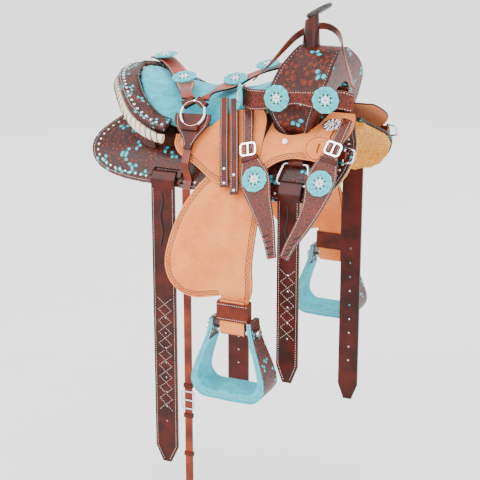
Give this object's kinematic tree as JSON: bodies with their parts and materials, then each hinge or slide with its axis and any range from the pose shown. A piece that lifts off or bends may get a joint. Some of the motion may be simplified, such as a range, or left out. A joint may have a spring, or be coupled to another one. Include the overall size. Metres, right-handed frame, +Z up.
{
  "type": "western barrel saddle with headstall and breast collar",
  "caption": "Small western barrel saddle with swinging fenders and stirrups, billets and rigging dees, laid with a matching headstall and breast collar.",
  "frame": {"origin": "centre line of the saddle, level with the inner top of the fleece arch, where the saddle sits on a stand or the horse", "axes": "+X towards the horn, +Y towards the horse's left, +Z up"},
  "size_m": [0.5539, 0.568, 1.0018],
  "materials": {
    "tooled_leather": "tooled chestnut leather",
    "roughout": "natural rough-out leather",
    "billet_leather": "glossy chestnut strap leather",
    "suede": "turquoise suede",
    "rawhide": "laced rawhide",
    "fleece": "golden fleece",
    "tree_wood": "covered wood",
    "chrome": "polished",
    "concho": "turquoise enamel with crystals",
    "dark_wrap": "dark wrapped leather",
    "stirrup_leather_cover": "tooled leather over wood"
  },
  "bodies": {
    "saddle": {"tree_bar_right": "tree_wood", "tree_bar_left": "tree_wood", "fork": "tree_wood", "swell_cover": "tooled_leather", "horn_neck": "tooled_leather", "horn_cap": "dark_wrap", "seat": "suede", "cantle_board": "tooled_leather", "cantle_roll": "tooled_leather", "cantle_binding": "rawhide", "skirt_right": "tooled_leather", "skirt_left": "tooled_leather", "fleece_right": "fleece", "fleece_left": "fleece", "seat_jockey_right": "roughout", "seat_jockey_left": "roughout", "front_jockey_right": "roughout", "front_jockey_left": "roughout", "latigo_keeper_right": "roughout", "latigo_keeper_left": "roughout", "rear_rigging_plate_right": "tooled_leather", "rear_rigging_plate_left": "tooled_leather", "front_rigging_dee_right": "chrome", "front_rigging_dee_left": "chrome", "rigging_tabs": "tooled_leather", "saddle_rosettes": "concho", "jockey_screws": "chrome", "breast_dee_clips": "tooled_leather", "collar_arm_cantle": "tooled_leather", "collar_arm_swell": "tooled_leather", "collar_drop": "tooled_leather", "collar_tugs": "tooled_leather", "collar_conchos": "concho", "tie_down_strap": "tooled_leather", "tie_down_buckle": "chrome"},
    "fender_right": {"fender_right": "roughout", "stirrup_leather_right": "roughout", "hobble_strap_right": "tooled_leather"},
    "stirrup_right": {"stirrup_frame_right": "stirrup_leather_cover", "stirrup_lining_right": "suede", "stirrup_bolt_right": "chrome"},
    "rear_billet_right": {"rear_billet_right": "billet_leather"},
    "breast_dee_right": {"breast_dee_right": "chrome"},
    "fender_left": {"fender_left": "roughout", "stirrup_leather_left": "roughout", "hobble_strap_left": "tooled_leather"},
    "stirrup_left": {"stirrup_frame_left": "stirrup_leather_cover", "stirrup_lining_left": "suede", "stirrup_bolt_left": "chrome"},
    "rear_billet_left": {"rear_billet_left": "billet_leather"},
    "breast_dee_left": {"breast_dee_left": "chrome"},
    "off_billet": {"off_billet": "billet_leather"},
    "latigo": {"latigo": "billet_leather"},
    "headstall": {"crown_strap": "tooled_leather", "browband": "tooled_leather", "cheek_front": "tooled_leather", "cheek_rear": "tooled_leather", "headstall_conchos": "concho", "headstall_buckles": "chrome"},
    "collar_ring": {"collar_ring": "chrome"}
  },
  "joints": [
    {"name": "fender_swing_right", "type": "hinge", "parent": "saddle", "child": "fender_right", "pos_m": [0.105, -0.14176, -0.02898], "axis": [0, -0.8829, 0.4695], "range_deg": [-8, 18]},
    {"name": "stirrup_swing_right", "type": "hinge", "parent": "fender_right", "child": "stirrup_right", "pos_m": [0.105, -0.25199, -0.345], "axis": [-1, 0, 0], "range_deg": [-12, 30]},
    {"name": "rear_billet_swing_right", "type": "hinge", "parent": "saddle", "child": "rear_billet_right", "pos_m": [-0.084, -0.1619, -0.08282], "axis": [-1, 0, 0], "range_deg": [0, 60]},
    {"name": "fender_swing_left", "type": "hinge", "parent": "saddle", "child": "fender_left", "pos_m": [0.105, 0.14176, -0.02898], "axis": [0, -0.8829, -0.4695], "range_deg": [-8, 18]},
    {"name": "stirrup_swing_left", "type": "hinge", "parent": "fender_left", "child": "stirrup_left", "pos_m": [0.105, 0.25199, -0.345], "axis": [1, 0, 0], "range_deg": [-12, 30]},
    {"name": "rear_billet_swing_left", "type": "hinge", "parent": "saddle", "child": "rear_billet_left", "pos_m": [-0.084, 0.1619, -0.08282], "axis": [1, 0, 0], "range_deg": [0, 60]},
    {"name": "off_billet_swing", "type": "hinge", "parent": "saddle", "child": "off_billet", "pos_m": [0.18, -0.15908, -0.07753], "axis": [1, 0, 0], "range_deg": [-4.5, 0]},
    {"name": "latigo_swing", "type": "hinge", "parent": "saddle", "child": "latigo", "pos_m": [0.18, 0.15908, -0.07753], "axis": [-1, 0, 0], "range_deg": [-4.5, 0]},
    {"name": "breast_dee_swing_right", "type": "hinge", "parent": "saddle", "child": "breast_dee_right", "pos_m": [0.268, -0.12463, -0.01997], "axis": [0, 0.4695, 0.8829], "range_deg": [-60, 0]},
    {"name": "breast_dee_swing_left", "type": "hinge", "parent": "saddle", "child": "breast_dee_left", "pos_m": [0.268, 0.12463, -0.01997], "axis": [0, -0.4695, 0.8829], "range_deg": [0, 60]},
    {"name": "headstall_lift", "type": "slide", "parent": "saddle", "child": "headstall", "axis": [0, 0, 1], "range_m": [0, 0.2]},
    {"name": "collar_ring_turn", "type": "hinge", "parent": "saddle", "child": "collar_ring", "pos_m": [-0.036, -0.13623, 0.0349], "axis": [0, -0.8829, 0.4695], "range_deg": [-90, 90]}
  ]
}
